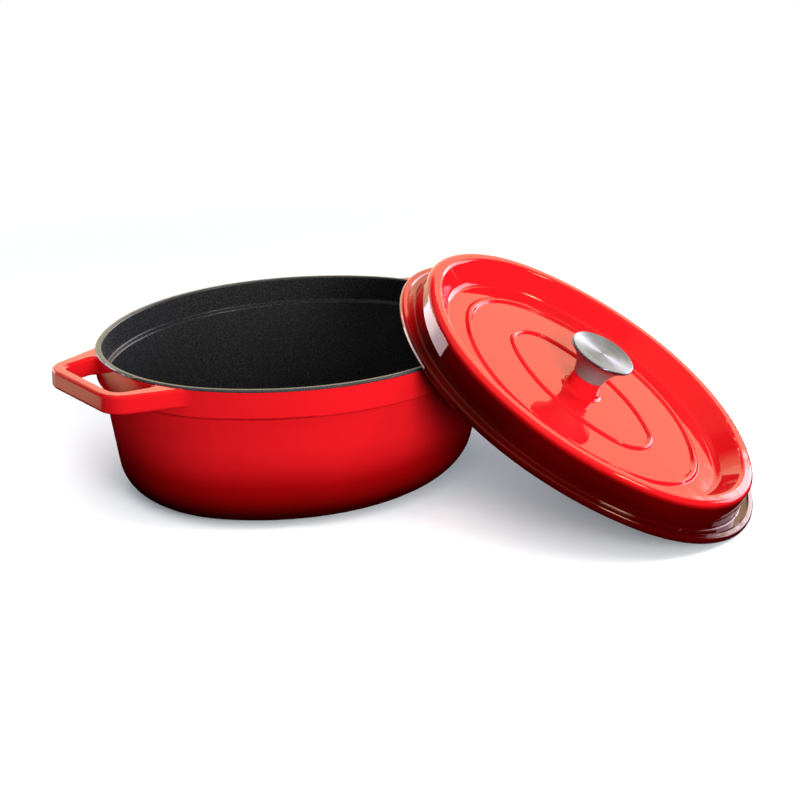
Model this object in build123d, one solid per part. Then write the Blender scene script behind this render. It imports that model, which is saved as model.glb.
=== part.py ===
from build123d import *
import math
import os

# Oval enamelled cast iron casserole with loop handles. The lid leans on the pot, as it is set down in use.
# Millimetres, +Z up. The origin is the centre of the pot's flat base, +X along the pot's long axis.
# Walls are drawn once as a section (inset from the rim's outer edge, height) and carried round the oval.

# Oval of the rim: two end arcs and two side arcs, tangent where they meet
RIM_HALF_LENGTH = 148.0
RIM_HALF_WIDTH = 123.6
RIM_END_RADIUS = 103.6
FLAT_INSET = 60.0            # inside this inset the floors of pot and lid are plain plates

# Pot
POT_HEIGHT = 106.0
BAND_HEIGHT = 20.4           # thicker band under the rim
BAND_STEP = 3.4              # how far the band stands out from the wall
BASE_INSET = 16.8            # where the drafted wall would meet the base
BASE_RADIUS = 28.0
BASE_GROUND_INSET = 39.0     # inside this the base is ground flat and bare
RIM_THICKNESS = 4.4
RIM_BORDER = 1.6             # the dark inner enamel comes this far down over the rim
LEDGE_DROP = 19.0            # the lid's skirt hangs above this inner ledge
LEDGE_INSET = 8.0
WALL_THICKNESS = 4.6
FLOOR_THICKNESS = 5.0

# Loop handles
HANDLE_REACH = 179.0         # outer face from the pot's centre
HANDLE_TOP = POT_HEIGHT - 1.0
HANDLE_HEIGHT = 13.2
HANDLE_ROOT = 118.0          # the legs' outlines start inside the pot at this x
HANDLE_ROOT_HALF = 60.6      # half-width of the outline there, and at the grip's corners
HANDLE_CORNER_HALF = 40.6
HANDLE_CORNER_RADIUS = 18.0
GAP_ROOT_HALF = 43.2         # the same for the finger gap
GAP_CORNER_HALF = 33.4
GAP_CORNER_RADIUS = 9.0
GRIP_THICKNESS = 8.8
HANDLE_EDGE = 2.4            # rounding of the bar's edges
LEG_ROOT_RADIUS = 16.0       # where the legs' outer sides meet the band
GAP_ROOT_RADIUS = 4.0        # where the gap's sides meet the band

# Lid, in its own frame: origin at the centre of the flange's underside
LID_PLATE = 4.2
LID_FLANGE = 5.2
LIP_WIDTH = 4.2              # raised lip round the flange's edge, with a shallow gutter inside it
GUTTER_DEPTH = 1.5
LID_HEIGHT = 25.5
WALL_FOOT_INSET = 10.3       # the ridge: up its outer wall, over the crest and down into the basin
WALL_TOP_INSET = 11.3
CREST_INSET = 20.6
CREST_SHOULDER = 4.0
BASIN_INSET = 31.4
BASIN_FLOOR = 10.2
GROOVE_DEPTH = 21.0          # hollow under the ridge, measured from the flange's underside
SKIRT_DEPTH = 3.6            # locating skirt under the flange, inside the pot's rim when closed
SKIRT_INSET = 8.0
BEAD_HEIGHT = 1.6
OUTER_BEAD_INSET = 49.2
BEAD_HALF_WIDTH = 2.8
INNER_BEAD_HALF_LENGTH = 63.2
INNER_BEAD_HALF_WIDTH = 35.6
INNER_BEAD_END_RADIUS = 24.6
INNER_BEAD_RADIUS = 2.3
BOSS_TOP = 21.8
BOSS_FOOT_RADIUS = 12.6
BOSS_TOP_RADIUS = 10.8

# Knob and its screw, on the lid's axis
KNOB_RADIUS = 23.4
KNOB_HEIGHT = 20.6
KNOB_FOOT_RADIUS = 11.6
KNOB_EDGE = 1.3              # thickness of the rounded rim, across and along
KNOB_FLARE = (14.6, 9.6)     # radius, and height over the foot, where the flare passes half way up
KNOB_DISH_RADIUS = 6.0       # flat centre of the dished top
SCREW_RADIUS = 3.0
SCREW_CLEARANCE = 0.05
SCREW_HOLE_RADIUS = 3.4
SCREW_GRIP = 10.0            # depth of the screw in the knob
SCREW_HEAD_RADIUS = 6.0
SCREW_HEAD_HEIGHT = 3.6
WASHER_RADIUS = 7.5
WASHER_THICKNESS = 1.2

# Enamel: the drawn surfaces are the enamel's, and the iron lies this far inside them
ENAMEL = 0.4

# Where the lid leans: its frame's place, then turned about Z, tipped about Y and rolled about X
LEAN_PLACE = (121.46, -156.01, 67.80)
LEAN_YAW = -84.98
LEAN_TILT = 26.16
LEAN_ROLL = -10.84


def corner(before, at, after, radius):
    """Two ends and the middle of the arc that rounds the corner at `at`."""
    back = (Vector(*before) - Vector(*at)).normalized()
    ahead = (Vector(*after) - Vector(*at)).normalized()
    half_angle = math.acos(max(-1.0, min(1.0, back.dot(ahead)))) / 2
    run = radius / math.tan(half_angle)
    middle = (back + ahead).normalized() * (radius / math.sin(half_angle) - radius)
    return Vector(*at) + back * run, Vector(*at) + middle, Vector(*at) + ahead * run


def outline(points):
    """Closed flat face through (x, y, radius) corners, each rounded by its radius."""
    bare = [(x, y) for x, y, radius in points]
    ends = []
    for i, (x, y, radius) in enumerate(points):
        if radius > 0:
            ends.append(corner(bare[i - 1], bare[i], bare[(i + 1) % len(bare)], radius))
        else:
            ends.append((Vector(x, y), None, Vector(x, y)))
    edges = []
    for i, (start, middle, end) in enumerate(ends):
        if middle is not None:
            edges.append(Edge.make_three_point_arc(start, middle, end))
        following = ends[(i + 1) % len(ends)][0]
        if (following - end).length > 1e-6:
            edges.append(Edge.make_line(end, following))
    return Face(Wire(edges))


def oval_arcs(half_length, half_width, end_radius):
    """Centre, radius, start angle and sweep of the oval's four arcs."""
    run = half_length - end_radius
    side_radius = (run**2 + half_width**2 - end_radius**2) / (2 * (half_width - end_radius))
    drop = side_radius - half_width
    split = math.degrees(math.atan2(drop, run))
    return [
        ((run, 0), end_radius, -split, 2 * split),
        ((0, -drop), side_radius, split, 180 - 2 * split),
        ((-run, 0), end_radius, 180 - split, 2 * split),
        ((0, drop), side_radius, 180 + split, 180 - 2 * split),
    ]


RIM_OVAL = oval_arcs(RIM_HALF_LENGTH, RIM_HALF_WIDTH, RIM_END_RADIUS)
INNER_BEAD_OVAL = oval_arcs(INNER_BEAD_HALF_LENGTH, INNER_BEAD_HALF_WIDTH, INNER_BEAD_END_RADIUS)


def around(section, arcs=RIM_OVAL):
    """Carry a section of (outward offset, height) round the oval."""
    ring = Part()
    for (x, y), radius, start, sweep in arcs:
        outward = Vector(math.cos(math.radians(start)), math.sin(math.radians(start)), 0)
        seam = Vector(x, y, 0) + outward * radius
        plane = Plane(origin=seam, x_dir=outward, z_dir=outward.cross(Vector(0, 0, 1)))
        for face in section.faces():
            ring += revolve(plane * face, Axis((x, y, 0), (0, 0, 1)), sweep)
    return ring


def oval_face(inset, arcs=RIM_OVAL):
    edges = []
    for (x, y), radius, start, sweep in arcs:
        edges.append(Edge.make_circle(radius - inset, Plane(origin=(x, y, 0)), start, start + sweep))
    return Face(Wire(edges))


def oval_plate(inset, bottom, top):
    return extrude(Pos(0, 0, bottom) * oval_face(inset), top - bottom, dir=(0, 0, 1))


def section_of(points):
    """Section from (inset, height, radius) corners; insets become inward offsets."""
    return outline([(-inset, z, radius) for inset, z, radius in points])


def box_2d(inset_from, inset_to, low, high):
    return section_of([(inset_from, low, 0), (inset_to, low, 0), (inset_to, high, 0), (inset_from, high, 0)])


def disc(radius, bottom, top):
    return Pos(0, 0, bottom) * Cylinder(radius, top - bottom, align=(Align.CENTER, Align.CENTER, Align.MIN))


def pot_section():
    band_bottom = POT_HEIGHT - BAND_HEIGHT
    draft = (BASE_INSET - BAND_STEP) / band_bottom
    inner_base = LEDGE_INSET + (POT_HEIGHT - LEDGE_DROP - FLOOR_THICKNESS) * draft
    return section_of([
        (0, POT_HEIGHT, 1.4),
        (0, band_bottom, 1.6),
        (BAND_STEP, band_bottom - 0.8, 1.8),
        (BASE_INSET, 0, BASE_RADIUS),
        (FLAT_INSET, 0, 0),
        (FLAT_INSET, FLOOR_THICKNESS, 0),
        (inner_base, FLOOR_THICKNESS, BASE_RADIUS - WALL_THICKNESS),
        (LEDGE_INSET, POT_HEIGHT - LEDGE_DROP, 1.6),
        (RIM_THICKNESS + 0.6, POT_HEIGHT - LEDGE_DROP + 0.8, 1.6),
        (RIM_THICKNESS, POT_HEIGHT, 1.4),
    ])


def lid_section():
    lip_foot = LIP_WIDTH + 1.2
    gutter = LID_FLANGE - GUTTER_DEPTH
    bead_top = BASIN_FLOOR + BEAD_HEIGHT
    under = BASIN_FLOOR - LID_PLATE
    return section_of([
        (0, 0, 2.0),
        (0, LID_FLANGE, 2.0),
        (LIP_WIDTH, LID_FLANGE, 1.0),
        (lip_foot, LID_FLANGE - 0.6, 1.0),
        (WALL_FOOT_INSET, gutter, 1.4),
        (WALL_TOP_INSET, LID_HEIGHT, CREST_SHOULDER),
        (CREST_INSET, LID_HEIGHT, 3.6),
        (BASIN_INSET, BASIN_FLOOR, 6.0),
        (OUTER_BEAD_INSET - BEAD_HALF_WIDTH, BASIN_FLOOR, 1.2),
        (OUTER_BEAD_INSET - 1.0, bead_top, 1.2),
        (OUTER_BEAD_INSET + 1.0, bead_top, 1.2),
        (OUTER_BEAD_INSET + BEAD_HALF_WIDTH, BASIN_FLOOR, 1.2),
        (FLAT_INSET, BASIN_FLOOR, 0),
        (FLAT_INSET, under, 0),
        (BASIN_INSET - 2.2, under, 3.0),
        (CREST_INSET - 1.9, GROOVE_DEPTH, 1.4),
        (WALL_TOP_INSET + 4.1, GROOVE_DEPTH, 1.4),
        (WALL_TOP_INSET + 3.7, 4.0, 4.0),
        (SKIRT_INSET + 4.6, -SKIRT_DEPTH, 1.2),
        (SKIRT_INSET + 0.3, -SKIRT_DEPTH, 1.2),
        (SKIRT_INSET, 0, 0.8),
    ])


def handle(skin):
    """Loop handle at the +X end, its surfaces `skin` inside the finished ones."""
    grip_inside = HANDLE_REACH - GRIP_THICKNESS
    band = oval_face(0)
    loop = outline([
        (HANDLE_ROOT, -HANDLE_ROOT_HALF, 0),
        (HANDLE_REACH, -HANDLE_CORNER_HALF, HANDLE_CORNER_RADIUS),
        (HANDLE_REACH, HANDLE_CORNER_HALF, HANDLE_CORNER_RADIUS),
        (HANDLE_ROOT, HANDLE_ROOT_HALF, 0),
    ])
    opening = outline([
        (HANDLE_ROOT, -GAP_ROOT_HALF, 0),
        (grip_inside, -GAP_CORNER_HALF, GAP_CORNER_RADIUS),
        (grip_inside, GAP_CORNER_HALF, GAP_CORNER_RADIUS),
        (HANDLE_ROOT, GAP_ROOT_HALF, 0),
    ])
    plan = Sketch() + loop + band
    roots = [v for v in plan.vertices() if v.X > HANDLE_ROOT and 50 < abs(v.Y) < HANDLE_ROOT_HALF]
    plan = fillet(roots, LEG_ROOT_RADIUS)
    gap = Sketch() + opening - band
    gap = fillet(gap.vertices().sort_by(Axis.X)[:2], GAP_ROOT_RADIUS)
    plan -= gap
    if skin:
        plan = offset(plan, -skin)
    bottom = HANDLE_TOP - HANDLE_HEIGHT + skin
    bar = extrude(Pos(0, 0, bottom) * plan, HANDLE_HEIGHT - 2 * skin, dir=(0, 0, 1))
    layers = bar.faces().sort_by(Axis.Z)
    bar = fillet(layers[0].edges() + layers[-1].edges(), HANDLE_EDGE - skin)
    bar -= oval_plate(RIM_THICKNESS / 2, 0, POT_HEIGHT)
    end = Pos(HANDLE_ROOT - 10, 0, 0) * Box(100, 200, 300, align=(Align.MIN, Align.CENTER, Align.CENTER))
    return bar & end


def both_handles(skin):
    one = handle(skin)
    return one + Rot(0, 0, 180) * one


def iron_under(section, bare, joint):
    """The casting's section: inside the enamel, but out to the finished surface in `bare` and `joint`."""
    return offset(section, -ENAMEL) + (section & bare) + joint


def build_pot():
    """The pot's casting, its outer enamel and its inner enamel, which also covers the rim."""
    section = pot_section()
    ground = box_2d(BASE_GROUND_INSET, FLAT_INSET, 0, 2 * ENAMEL)
    joint = box_2d(FLAT_INSET - 2 * ENAMEL, FLAT_INSET, 0, FLOOR_THICKNESS - ENAMEL)
    iron = iron_under(section, ground, joint)
    coat = section - iron
    over_border = box_2d(-1, RIM_THICKNESS + 1, POT_HEIGHT - RIM_BORDER, POT_HEIGHT + 1)
    outer_coat = (coat - over_border).faces().sort_by(Axis.X)[-1]
    inner_coat = coat - outer_coat

    floor = FLOOR_THICKNESS
    casting = around(iron) + oval_plate(FLAT_INSET, 0, floor - ENAMEL) + both_handles(ENAMEL)
    interior = around(inner_coat) + oval_plate(FLAT_INSET, floor - ENAMEL, floor) - casting
    exterior = around(section) + both_handles(0) - casting - interior
    return casting, exterior, interior


def lid_centre(skin):
    """Upper half of the lid inside FLAT_INSET: floor, oval bead and the boss under the knob."""
    floor = BASIN_FLOOR - skin
    middle = BASIN_FLOOR - LID_PLATE / 2
    boss = outline([
        (0, middle, 0),
        (BOSS_FOOT_RADIUS * 2, middle, 0),
        (BOSS_FOOT_RADIUS * 2, floor, 0),
        (BOSS_FOOT_RADIUS - skin, floor, 4.0 + skin),
        (BOSS_TOP_RADIUS - skin, BOSS_TOP - skin, 0.8),
        (0, BOSS_TOP - skin, 0),
    ])
    boss = revolve(Plane.XZ * boss, Axis.Z, 360)
    reach = INNER_BEAD_RADIUS - skin
    sag = INNER_BEAD_RADIUS - BEAD_HEIGHT
    bead = Sketch() + Pos(0, BASIN_FLOOR - sag) * Circle(reach)
    bead = around(bead, INNER_BEAD_OVAL)
    return oval_plate(FLAT_INSET, middle, floor) + bead + boss


def build_lid():
    """The lid's casting and its two enamels; the flange's lower edge is bare iron."""
    section = lid_section()
    under = BASIN_FLOOR - LID_PLATE
    bare = box_2d(-1, SKIRT_INSET - 0.9, -1, 1.0)
    joint = box_2d(FLAT_INSET - 2 * ENAMEL, FLAT_INSET, under + ENAMEL, BASIN_FLOOR - ENAMEL)
    iron = iron_under(section, bare, joint)
    lower_coat, upper_coat = (section - iron).faces().sort_by(Axis.Y)

    hole = disc(SCREW_HOLE_RADIUS, 0, BOSS_TOP + 1)
    lower_half = oval_plate(FLAT_INSET, under + ENAMEL, under + LID_PLATE / 2)
    casting = around(iron) + lower_half + lid_centre(ENAMEL)
    exterior = around(upper_coat) + (lid_centre(0) - casting) - hole
    interior = around(lower_coat) + oval_plate(FLAT_INSET, under, under + ENAMEL) - hole
    return casting - hole, exterior, interior


def build_knob():
    """Flared knob with a shallow dished top and a blind hole for the screw."""
    foot = BOSS_TOP
    top = BOSS_TOP + KNOB_HEIGHT
    edge = KNOB_RADIUS
    dish = top - 1.0
    foot_edge = (KNOB_FOOT_RADIUS, foot + 0.6)
    flare = (KNOB_FLARE[0], foot + KNOB_FLARE[1])
    under_edge = (edge - KNOB_EDGE, top - 1.8 * KNOB_EDGE)
    top_edge = (edge - KNOB_EDGE, top)
    profile = Face(Wire([
        Edge.make_line((0, foot), (KNOB_FOOT_RADIUS - 0.6, foot)),
        Edge.make_line((KNOB_FOOT_RADIUS - 0.6, foot), foot_edge),
        Edge.make_three_point_arc(foot_edge, flare, under_edge),
        Edge.make_three_point_arc(under_edge, (edge, top - KNOB_EDGE), top_edge),
        Edge.make_three_point_arc(top_edge, (edge - 8.0, top - 0.7), (KNOB_DISH_RADIUS, dish)),
        Edge.make_line((KNOB_DISH_RADIUS, dish), (0, dish)),
        Edge.make_line((0, dish), (0, foot)),
    ]))
    knob = revolve(Plane.XZ * profile, Axis.Z, 360)
    return knob - disc(SCREW_RADIUS, foot - 1, foot + SCREW_GRIP + 1.5)


def build_screw():
    """Pan head screw from under the lid, with its washer."""
    washer_bottom = BASIN_FLOOR - LID_PLATE - WASHER_THICKNESS
    washer = disc(WASHER_RADIUS, washer_bottom, washer_bottom + WASHER_THICKNESS)
    washer -= disc(SCREW_HOLE_RADIUS, 0, BOSS_TOP)
    head = disc(SCREW_HEAD_RADIUS, washer_bottom - SCREW_HEAD_HEIGHT, washer_bottom)
    head = fillet(head.faces().sort_by(Axis.Z)[0].edges(), 2.0)
    for angle in (0, 90):
        slot = Rot(0, 0, angle) * Box(7.0, 1.4, 4.0)
        head -= Pos(0, 0, washer_bottom - SCREW_HEAD_HEIGHT) * slot
    shank = disc(SCREW_RADIUS - SCREW_CLEARANCE, washer_bottom - 0.5, BOSS_TOP + SCREW_GRIP)
    shank = chamfer(shank.faces().sort_by(Axis.Z)[-1].edges(), 0.6)
    return head + shank, washer


def main():
    pot_casting, pot_exterior, pot_interior = build_pot()
    lid_casting, lid_exterior, lid_interior = build_lid()
    screw, washer = build_screw()
    lean = Pos(*LEAN_PLACE) * Rot(0, 0, LEAN_YAW) * Rot(0, LEAN_TILT, 0) * Rot(LEAN_ROLL, 0, 0)
    parts = {
        "pot_casting": pot_casting,
        "pot_exterior_enamel": pot_exterior,
        "pot_interior_enamel": pot_interior,
        "lid_casting": lean * lid_casting,
        "lid_exterior_enamel": lean * lid_exterior,
        "lid_interior_enamel": lean * lid_interior,
        "knob": lean * build_knob(),
        "knob_screw": lean * screw,
        "knob_washer": lean * washer,
    }
    os.makedirs("parts", exist_ok=True)
    for name, shape in parts.items():
        export_step(shape, f"parts/{name}.step")
        volume = round(shape.volume / 1000, 2)
        print(name, "solids", len(shape.solids()), "valid", shape.is_valid, "cm3", volume)


main()
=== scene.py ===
import math

import bpy
from mathutils import Euler, Matrix, Vector


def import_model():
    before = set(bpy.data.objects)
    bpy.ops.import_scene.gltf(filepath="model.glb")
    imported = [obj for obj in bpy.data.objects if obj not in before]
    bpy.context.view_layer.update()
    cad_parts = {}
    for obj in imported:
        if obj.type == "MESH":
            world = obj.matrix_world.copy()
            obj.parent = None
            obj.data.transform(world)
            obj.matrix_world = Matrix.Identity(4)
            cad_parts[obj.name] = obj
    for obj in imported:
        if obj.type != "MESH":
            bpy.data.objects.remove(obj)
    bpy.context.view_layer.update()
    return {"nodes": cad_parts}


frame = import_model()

NODES = frame["nodes"]

# The lid's own frame at rest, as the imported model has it
LID_PLACE = Vector((0.12146, -0.15601, 0.06780))
LID_TURN = Euler([math.radians(a) for a in (-10.84, 26.16, -84.98)], "XYZ")
LID_AXIS = LID_TURN.to_matrix() @ Vector((0, 0, 1))

# Rim oval: end arcs of END_RADIUS centred END_RUN out, side arcs of SIDE_RADIUS centred SIDE_DROP across
END_RUN = 0.0444
END_RADIUS = 0.1036
SIDE_DROP = 0.0393
SIDE_RADIUS = 0.1629

# Camera: how far round, how high and how far off, in metres, and its lens. Its axis passes to the right of
# the base's centre and above it by AIM_RIGHT and AIM_UP.
VIEW_AZIMUTH = math.radians(-38.73)
VIEW_ELEVATION = math.radians(19.91)
VIEW_ROLL = math.radians(0.13)
VIEW_DISTANCE = 1.464
AIM_RIGHT = 0.0721
AIM_UP = 0.0486
SENSOR_WIDTH = 36.0          # millimetres, as is the lens
LENS = 91.0

# Colours of the glazes, and of the light they reflect
RED = (0.84, 0.0105, 0.0165)
# Darker reds of the ramp: painted shade on the lid, a darkening towards the foot on the pot.
RED_DIMMED = (0.70, 0.008, 0.012)
RED_DEEP = (0.36, 0.002, 0.003)
RED_DARKEST = (0.055, 0.0004, 0.0004)
GLARE = (1.0, 0.70, 0.38)

# Studio: brightness, and where the lit wall and the two softboxes stand (azimuths in degrees)
FLOOR_GLOW = 0.12
FLOOR_HALF = 6.0
FLOOR_WHITE_FROM = 0.45      # the pale floor fades into plain white between these distances, in metres
FLOOR_WHITE_TO = 0.80
SWEEP_SHARE = 0.7            # how bright the far floor is beside the wall, as reflections see it
BACK_AZIMUTH = 147
BACK_LEVEL = 1.9
BACK_COLOR = (1.0, 0.84, 0.60)
RIGHT_BOX_AZIMUTH = 88
LEFT_BOX_AZIMUTH = 194
BOX_LEVEL = 5.9
BOX_COLOR = (0.80, 0.74, 1.0)
CEILING_LEVEL = 0.35
FILL_COLOR = (0.80, 0.90, 1.0)
LIGHT_DISTANCE = 1.6
LIGHT_AIM = Vector((0.06, -0.07, 0.05))

scene = bpy.context.scene
scene.view_settings.view_transform = "Standard"
scene.view_settings.look = "None"
scene.view_settings.exposure = 0.0
scene.view_settings.gamma = 1.0


class Nodes:
    """Short way to build a node tree."""

    def __init__(self, tree):
        self.tree = tree
        self.tree.nodes.clear()

    def add(self, kind, inputs=None, **settings):
        node = self.tree.nodes.new(kind)
        for key, value in settings.items():
            setattr(node, key, value)
        for key, value in (inputs or {}).items():
            socket = node.inputs[key]
            if isinstance(value, bpy.types.NodeSocket):
                self.tree.links.new(value, socket)
            else:
                socket.default_value = value
        return node

    def math(self, operation, *values):
        node = self.tree.nodes.new("ShaderNodeMath")
        node.operation = operation
        for i, value in enumerate(values):
            if isinstance(value, bpy.types.NodeSocket):
                self.tree.links.new(value, node.inputs[i])
            else:
                node.inputs[i].default_value = value
        return node.outputs[0]

    def vector(self, operation, *values, out=0):
        node = self.tree.nodes.new("ShaderNodeVectorMath")
        node.operation = operation
        for i, value in enumerate(values):
            if isinstance(value, bpy.types.NodeSocket):
                self.tree.links.new(value, node.inputs[i])
            else:
                node.inputs[i].default_value = value
        return node.outputs[out]

    def ramp(self, factor, stops, interpolation="LINEAR"):
        node = self.add("ShaderNodeValToRGB", {"Fac": factor})
        ramp = node.color_ramp
        ramp.interpolation = interpolation
        while len(ramp.elements) < len(stops):
            ramp.elements.new(0.5)
        for element, (position, color) in zip(ramp.elements, stops):
            element.position = position
            element.color = (*color, 1) if len(color) == 3 else color
        return node.outputs["Color"]

    def mix(self, factor, a, b, blend="MIX"):
        node = self.tree.nodes.new("ShaderNodeMix")
        node.data_type = "RGBA"
        node.blend_type = blend
        for key, value in ((0, factor), (6, a), (7, b)):
            if isinstance(value, bpy.types.NodeSocket):
                self.tree.links.new(value, node.inputs[key])
            elif key == 0:
                node.inputs[key].default_value = value
            else:
                node.inputs[key].default_value = (*value, 1)
        return node.outputs[2]

    def map_range(self, value, low, high, to_low=0.0, to_high=1.0, smooth=False):
        node = self.add("ShaderNodeMapRange", {
            "Value": value, "From Min": low, "From Max": high, "To Min": to_low, "To Max": to_high})
        node.interpolation_type = "SMOOTHSTEP" if smooth else "LINEAR"
        return node.outputs[0]


def material(name):
    mat = bpy.data.materials.new(name)
    mat.use_nodes = True
    return mat, Nodes(mat.node_tree)


def surface(n, **inputs):
    """The shader and the output; inputs are named by socket, with _ for a space."""
    shader = n.add("ShaderNodeBsdfPrincipled", {k.replace("_", " "): v for k, v in inputs.items()})
    n.add("ShaderNodeOutputMaterial", {"Surface": shader.outputs[0]})
    return shader


def rest_position(n):
    return n.add("ShaderNodeTexCoord").outputs["Object"]


def lid_position(n):
    """Position in the lid's own frame, in metres, whatever pose the lid is in."""
    mapping = n.add("ShaderNodeMapping", {
        "Vector": rest_position(n), "Location": LID_PLACE, "Rotation": LID_TURN}, vector_type="TEXTURE")
    return mapping.outputs[0]


def oval_inset(n, x, y):
    """How far inside the rim's oval outline a point is, in metres, by the arc that it faces."""
    x, y = n.math("ABSOLUTE", x), n.math("ABSOLUTE", y)
    past = n.math("SUBTRACT", x, END_RUN)
    end = n.math("SQRT", n.math("ADD", n.math("MULTIPLY", past, past), n.math("MULTIPLY", y, y)))
    low = n.math("ADD", y, SIDE_DROP)
    side = n.math("SQRT", n.math("ADD", n.math("MULTIPLY", x, x), n.math("MULTIPLY", low, low)))
    at_end = n.math("LESS_THAN", n.math("MULTIPLY", y, END_RUN), n.math("MULTIPLY", past, SIDE_DROP))
    end_inset = n.math("SUBTRACT", END_RADIUS, end)
    side_inset = n.math("SUBTRACT", SIDE_RADIUS, side)
    apart = n.math("SUBTRACT", end_inset, side_inset)
    return n.math("ADD", side_inset, n.math("MULTIPLY", at_end, apart))


def enamel_skin(n, position, peel=0.0003):
    """Orange peel of fired enamel: slow waves with a finer ripple."""
    slow = n.add("ShaderNodeTexNoise", {"Vector": position, "Scale": 55.0, "Detail": 1.0}).outputs["Fac"]
    fine = n.add("ShaderNodeTexNoise", {"Vector": position, "Scale": 380.0, "Detail": 2.0}).outputs["Fac"]
    height = n.math("ADD", slow, n.math("MULTIPLY", fine, 0.06))
    return n.add("ShaderNodeBump", {"Strength": 0.30, "Distance": peel, "Height": height}).outputs[0]


def red_enamel(name, shade):
    """Glossy red enamel, darker where `shade` (0 to 1) is high: painted shade on the lid, a darkening towards
    the foot on the pot.
    """
    mat, n = material(name)
    position, darkening = shade(n)
    cloud = n.add("ShaderNodeTexNoise", {"Vector": position, "Scale": 16.0, "Detail": 3.0}).outputs["Fac"]
    darkening = n.math("ADD", darkening, n.map_range(cloud, 0.3, 0.7, -0.03, 0.03))
    # Bright red to near black as `shade` rises: painted shade on the lid, darkening towards the foot on the
    # pot.
    color = n.ramp(darkening, [(0.0, RED), (0.25, RED_DIMMED), (0.55, RED_DEEP), (1.0, RED_DARKEST)])
    speck = n.add("ShaderNodeTexNoise", {"Vector": position, "Scale": 900.0, "Detail": 1.0}).outputs["Fac"]
    color = n.mix(n.map_range(speck, 0.60, 0.85, 0.0, 0.2), color, (0.25, 0.002, 0.002))
    rough = n.map_range(cloud, 0.3, 0.7, 0.025, 0.050)
    surface(n, Base_Color=color, Roughness=rough, Normal=enamel_skin(n, position),
            IOR=1.55, Specular_Tint=(*GLARE, 1))
    return mat


def pot_shade(n):
    """Deep at the foot of the wall and round under the base."""
    position = rest_position(n)
    height = n.add("ShaderNodeSeparateXYZ", {"Vector": position}).outputs["Z"]
    return position, n.map_range(height, 0.060, 0.010, 0.0, 1.0)


def lid_shade(n):
    """Painted shade: bright on the top and in the basin, deep down the outer wall and on the flange."""
    position = lid_position(n)
    xyz = n.add("ShaderNodeSeparateXYZ", {"Vector": position})
    inset = oval_inset(n, xyz.outputs["X"], xyz.outputs["Y"])
    # Painted shade over the outer wall below the top, deepening towards the flange.
    outside = n.map_range(inset, 0.0165, 0.0135)
    low = n.map_range(xyz.outputs["Z"], 0.0255, 0.0205)
    foot = n.map_range(xyz.outputs["Z"], 0.0205, 0.0080, 0.92, 1.0)
    # The painted shade eases off at the lid's left end, where light falls on the outer wall and flange.
    end = n.map_range(xyz.outputs["X"], -0.120, -0.060, 0.15, 1.0, smooth=True)
    return position, n.math("MULTIPLY", n.math("MULTIPLY", outside, low), n.math("MULTIPLY", foot, end))


def black_enamel(name, locate):
    """Satin black enamel with fine pale specks; a plain dark grey over the pot's rim."""
    mat, n = material(name)
    position = locate(n)
    height = n.add("ShaderNodeSeparateXYZ", {"Vector": rest_position(n)}).outputs["Z"]
    grain = n.add("ShaderNodeTexNoise", {"Vector": position, "Scale": 950.0, "Detail": 3.0, "Roughness": 0.7})
    cells = n.add("ShaderNodeTexVoronoi", {"Vector": position, "Scale": 620.0, "Randomness": 1.0})
    cloud = n.add("ShaderNodeTexNoise", {"Vector": position, "Scale": 22.0, "Detail": 2.0}).outputs["Fac"]
    base = n.ramp(grain.outputs["Fac"], [
        (0.35, (0.012, 0.012, 0.013)), (0.60, (0.030, 0.030, 0.031)), (0.78, (0.09, 0.09, 0.09))])
    dots = n.map_range(cells.outputs["Distance"], 0.22, 0.08)
    fleck = n.math("MULTIPLY", dots, n.map_range(cloud, 0.35, 0.7, 0.25, 0.8))
    color = n.mix(fleck, base, (0.085, 0.085, 0.088))
    rim = n.map_range(height, 0.1045, 0.1052) if locate is rest_position else 0.0
    color = n.mix(rim, color, (0.050, 0.050, 0.052))
    rough = n.map_range(grain.outputs["Fac"], 0.3, 0.7, 0.20, 0.34)
    pits = {"Strength": 0.35, "Distance": 0.0002, "Height": grain.outputs["Fac"]}
    bump = n.add("ShaderNodeBump", pits).outputs[0]
    surface(n, Base_Color=color, Roughness=rough, Normal=bump, IOR=1.5)
    return mat


def bare_iron(name):
    mat, n = material(name)
    position = rest_position(n)
    grain = n.add("ShaderNodeTexNoise", {"Vector": position, "Scale": 700.0, "Detail": 4.0}).outputs["Fac"]
    patch = n.add("ShaderNodeTexNoise", {"Vector": position, "Scale": 35.0, "Detail": 3.0}).outputs["Fac"]
    color = n.ramp(grain, [(0.3, (0.025, 0.024, 0.023)), (0.7, (0.085, 0.082, 0.078))])
    color = n.mix(n.map_range(patch, 0.5, 0.75, 0.0, 0.5), color, (0.06, 0.040, 0.028))
    bump = n.add("ShaderNodeBump", {"Strength": 0.5, "Distance": 0.0002, "Height": grain}).outputs[0]
    surface(n, Base_Color=color, Roughness=n.map_range(patch, 0.3, 0.7, 0.45, 0.7), Metallic=0.6, Normal=bump)
    return mat


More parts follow.
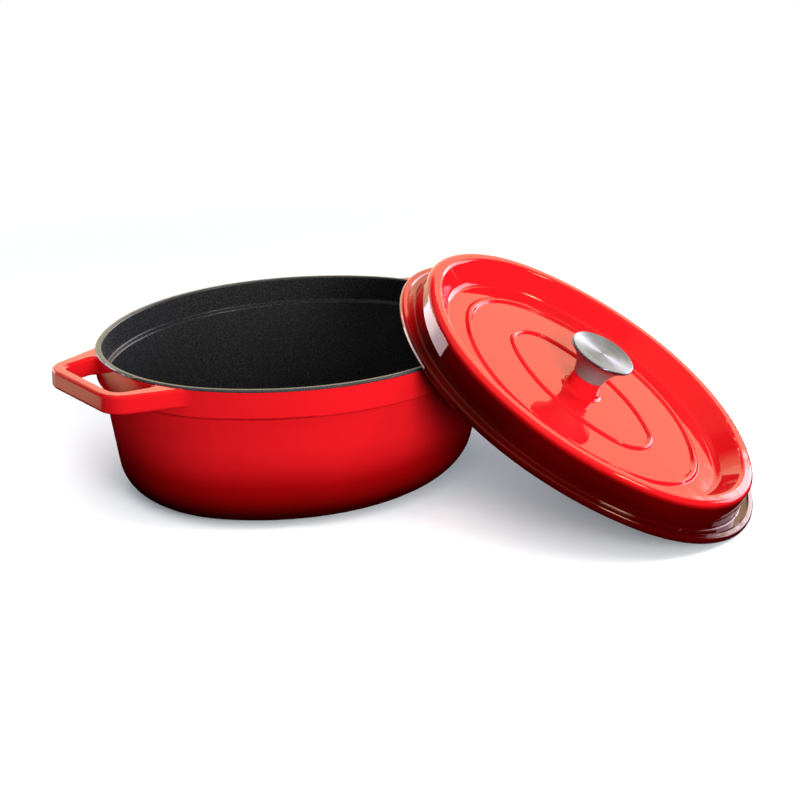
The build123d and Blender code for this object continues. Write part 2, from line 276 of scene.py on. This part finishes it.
def brushed_steel(name):
    """Stainless steel turned on a lathe: grooves round the lid's axis, highlights drawn out across them.

    The neck under the flare is duller than the polished top, its dark grey a painted reflection of a dark
    surround in place of the red basin it would mirror."""
    mat, n = material(name)
    position = lid_position(n)
    xyz = n.add("ShaderNodeSeparateXYZ", {"Vector": position})
    flat = n.add("ShaderNodeCombineXYZ", {"X": xyz.outputs["X"], "Y": xyz.outputs["Y"]}).outputs[0]
    radius = n.vector("LENGTH", flat, out=1)
    turned = n.add("ShaderNodeCombineXYZ", {"X": radius, "Y": xyz.outputs["Z"]}).outputs[0]
    grooves = n.add("ShaderNodeTexNoise", {"Vector": turned, "Scale": 3000.0, "Detail": 3.0}).outputs["Fac"]
    broad = n.add("ShaderNodeTexNoise", {"Vector": turned, "Scale": 450.0, "Detail": 2.0}).outputs["Fac"]
    round_about = n.vector("NORMALIZE", flat)
    # Radial streaks of painted highlight across the turned top, paler than the grooves.
    spoke_highlight = n.add("ShaderNodeTexNoise", {"Vector": round_about, "Scale": 9.0, "Detail": 4.0}).outputs["Fac"]
    color = n.ramp(grooves, [(0.3, (0.25, 0.29, 0.37)), (0.7, (0.34, 0.39, 0.49))])
    color = n.mix(n.map_range(spoke_highlight, 0.35, 0.65, 0.0, 0.35), color, (0.45, 0.51, 0.63))
    # Painted dark reflection on the neck: a dull dark grey below the flare, with less metal.
    neck = n.map_range(xyz.outputs["Z"], 0.0400, 0.0385)
    color = n.mix(neck, color, (0.22, 0.28, 0.28))
    rough = n.map_range(broad, 0.3, 0.7, 0.30, 0.40)
    shape = n.add("ShaderNodeNewGeometry").outputs["Normal"]
    out = n.vector("SUBTRACT", rest_position(n), tuple(LID_PLACE))
    round_axis = n.vector("CROSS_PRODUCT", tuple(LID_AXIS), out)
    across = n.vector("NORMALIZE", n.vector("CROSS_PRODUCT", shape, round_axis))
    bump = n.add("ShaderNodeBump", {"Strength": 0.25, "Distance": 0.00003, "Height": grooves}).outputs[0]
    metal = n.map_range(neck, 0.0, 1.0, 1.0, 0.3)
    surface(n, Base_Color=color, Metallic=metal, Roughness=rough,
            Normal=bump, Tangent=across, Anisotropic=0.8)
    return mat


def paint(node, mat):
    for slot in NODES[node].material_slots:
        slot.material = mat


iron = bare_iron("bare_iron")
steel = brushed_steel("brushed_steel")
paint("pot_casting", iron)
paint("lid_casting", iron)
paint("pot_exterior_enamel", red_enamel("pot_red_enamel", pot_shade))
paint("lid_exterior_enamel", red_enamel("lid_red_enamel", lid_shade))
paint("pot_interior_enamel", black_enamel("pot_black_enamel", rest_position))
paint("lid_interior_enamel", black_enamel("lid_black_enamel", lid_position))
for node in ("knob", "knob_screw", "knob_washer"):
    paint(node, steel)


def toward(azimuth, elevation):
    az, el = math.radians(azimuth), math.radians(elevation)
    return Vector((math.sin(az) * math.cos(el), -math.cos(az) * math.cos(el), math.sin(el)))


def floor():
    """Pale floor that fades into the white sweep. The glaze sees it pale only behind the object, and dark
    close to the object as painted shade.
    """
    mesh = bpy.data.meshes.new("floor")
    corners = [(FLOOR_HALF * x, FLOOR_HALF * y, 0) for x, y in ((-1, -1), (1, -1), (1, 1), (-1, 1))]
    mesh.from_pydata(corners, [], [(0, 1, 2, 3)])
    obj = bpy.data.objects.new("floor", mesh)
    obj.location.z = -0.0003
    scene.collection.objects.link(obj)
    mat, n = material("floor")
    place = n.add("ShaderNodeTexCoord").outputs["Object"]
    grain = n.add("ShaderNodeTexNoise", {"Vector": place, "Scale": 40.0, "Detail": 2.0}).outputs["Fac"]
    pale = n.ramp(grain, [(0.3, (0.86, 0.86, 0.865)), (0.7, (0.88, 0.88, 0.88))])
    lit = n.add("ShaderNodeBsdfDiffuse", {"Color": pale}).outputs[0]
    glow = n.add("ShaderNodeEmission", {"Color": (0.75, 0.88, 1.0, 1), "Strength": FLOOR_GLOW}).outputs[0]
    near = n.add("ShaderNodeAddShader", {0: lit, 1: glow}).outputs[0]
    far = n.add("ShaderNodeEmission", {"Strength": 1.0}).outputs[0]
    reach = n.vector("LENGTH", place, out=1)
    away = n.map_range(reach, FLOOR_WHITE_FROM, FLOOR_WHITE_TO, smooth=True)
    seen_floor = n.add("ShaderNodeMixShader", {0: away, 1: near, 2: far}).outputs[0]
    across = n.add("ShaderNodeSeparateXYZ", {"Vector": place})
    behind = n.map_range(across.outputs["Y"], 0.10, 0.20, smooth=True)
    beside = n.map_range(across.outputs["X"], -0.80, -0.60, smooth=True)
    # The sweep stays dark within 0.33 to 0.40 m of the centre: painted shade on the floor near the object, as
    # reflections see it.
    clear = n.map_range(reach, 0.33, 0.40, smooth=True)
    lit_part = n.math("MULTIPLY", n.math("MULTIPLY", behind, beside), clear)
    sweep = n.math("MULTIPLY", lit_part, BACK_LEVEL * SWEEP_SHARE)
    glossy_floor = n.add("ShaderNodeEmission", {"Color": (*BACK_COLOR, 1), "Strength": sweep}).outputs[0]
    seen = n.add("ShaderNodeLightPath").outputs["Is Camera Ray"]
    mixed = n.add("ShaderNodeMixShader", {0: seen, 1: glossy_floor, 2: seen_floor}).outputs[0]
    n.add("ShaderNodeOutputMaterial", {"Surface": mixed})
    mesh.materials.append(mat)
    return obj


def world():
    """White to the camera. To the object: a lit wall behind, softboxes either side, dark in front."""
    w = bpy.data.worlds.new("studio")
    scene.world = w
    w.use_nodes = True
    n = Nodes(w.node_tree)
    ray = n.add("ShaderNodeTexCoord").outputs["Generated"]
    z = n.add("ShaderNodeSeparateXYZ", {"Vector": ray}).outputs["Z"]
    flat = n.vector("NORMALIZE", n.vector("MULTIPLY", ray, (1, 1, 0)))

    def panel(azimuth, half_width, low, high, soft):
        """1 inside a panel of the wall, in degrees of azimuth and elevation, with soft edges."""
        beside = n.vector("DOT_PRODUCT", flat, tuple(toward(azimuth, 0)), out=1)
        edge = math.cos(math.radians(half_width))
        near_edge = math.cos(math.radians(half_width - soft))
        wide = n.map_range(beside, edge, near_edge, smooth=True)
        bottom, top = math.sin(math.radians(low)), math.sin(math.radians(high))
        rise = math.sin(math.radians(soft))
        tall = n.math("MULTIPLY", n.map_range(z, bottom, bottom + rise), n.map_range(z, top, top - rise))
        return n.math("MULTIPLY", wide, tall)

    rays = n.add("ShaderNodeLightPath")
    ceiling = n.map_range(z, 0.72, 0.80, 0.0, CEILING_LEVEL, smooth=True)
    wall = n.math("MULTIPLY", panel(BACK_AZIMUTH, 55, -90, 40, 8), BACK_LEVEL)
    right_box = panel(RIGHT_BOX_AZIMUTH, 19, -7, 23.2, 0.8)
    left_box = panel(LEFT_BOX_AZIMUTH, 18, -12, 16, 0.8)
    boxes = n.math("MULTIPLY", n.math("ADD", right_box, left_box), BOX_LEVEL)
    wall_color = n.mix(rays.outputs["Is Glossy Ray"], FILL_COLOR, BACK_COLOR)
    box_color = n.mix(rays.outputs["Is Glossy Ray"], FILL_COLOR, BOX_COLOR)
    lit_wall = n.add("ShaderNodeBackground", {"Color": wall_color, "Strength": wall}).outputs[0]
    lit_boxes = n.add("ShaderNodeBackground", {"Color": box_color, "Strength": boxes}).outputs[0]
    lit_ceiling = n.add("ShaderNodeBackground", {"Strength": ceiling}).outputs[0]
    studio = n.add("ShaderNodeAddShader", {0: lit_wall, 1: lit_boxes}).outputs[0]
    studio = n.add("ShaderNodeAddShader", {0: studio, 1: lit_ceiling}).outputs[0]
    white = n.add("ShaderNodeBackground", {"Color": (1, 1, 1, 1), "Strength": 1.0}).outputs[0]
    mixed = n.add("ShaderNodeMixShader", {0: rays.outputs["Is Camera Ray"], 1: studio, 2: white}).outputs[0]
    n.add("ShaderNodeOutputWorld", {"Surface": mixed})


def softbox(name, azimuth, elevation, size, power, glossy=False, only=None):
    """Square area light aimed at the object. Without `glossy` it leaves no reflection, as if cross-polarised.

    With `only` it lights that one object."""
    light = bpy.data.lights.new(name, "AREA")
    light.shape = "SQUARE"
    light.size = size
    light.energy = power
    obj = bpy.data.objects.new(name, light)
    obj.location = LIGHT_AIM + toward(azimuth, elevation) * LIGHT_DISTANCE
    obj.rotation_euler = (LIGHT_AIM - obj.location).to_track_quat("-Z", "Y").to_euler()
    obj.visible_glossy = glossy
    scene.collection.objects.link(obj)
    if only:
        obj.light_linking.receiver_collection = bpy.data.collections.new(name + "_lights")
        obj.light_linking.receiver_collection.objects.link(only)


def camera():
    az, el = VIEW_AZIMUTH, VIEW_ELEVATION
    back = Vector((math.sin(az) * math.cos(el), -math.cos(az) * math.cos(el), math.sin(el)))
    forward = -back
    right = forward.cross(Vector((0, 0, 1))).normalized()
    up = right.cross(forward)
    turn = Matrix.Rotation(VIEW_ROLL, 3, forward)
    right, up = turn @ right, turn @ up
    cam = bpy.data.objects.new("camera", bpy.data.cameras.new("camera"))
    scene.collection.objects.link(cam)
    place = Matrix.Translation(VIEW_DISTANCE * back + AIM_RIGHT * right + AIM_UP * up)
    cam.matrix_world = place @ Matrix((right, up, back)).transposed().to_4x4()
    cam.data.sensor_width = SENSOR_WIDTH
    cam.data.lens = LENS
    cam.data.clip_start = 0.05
    scene.camera = cam


ground = floor()
world()
camera()
softbox("key", -16, 14, 0.7, 27)
softbox("overhead", -30, 84, 1.6, 8)
softbox("floor_light", -30, 52, 2.0, 30, only=ground)
softbox("flash", 32, 42, 0.22, 5.0, glossy=True)
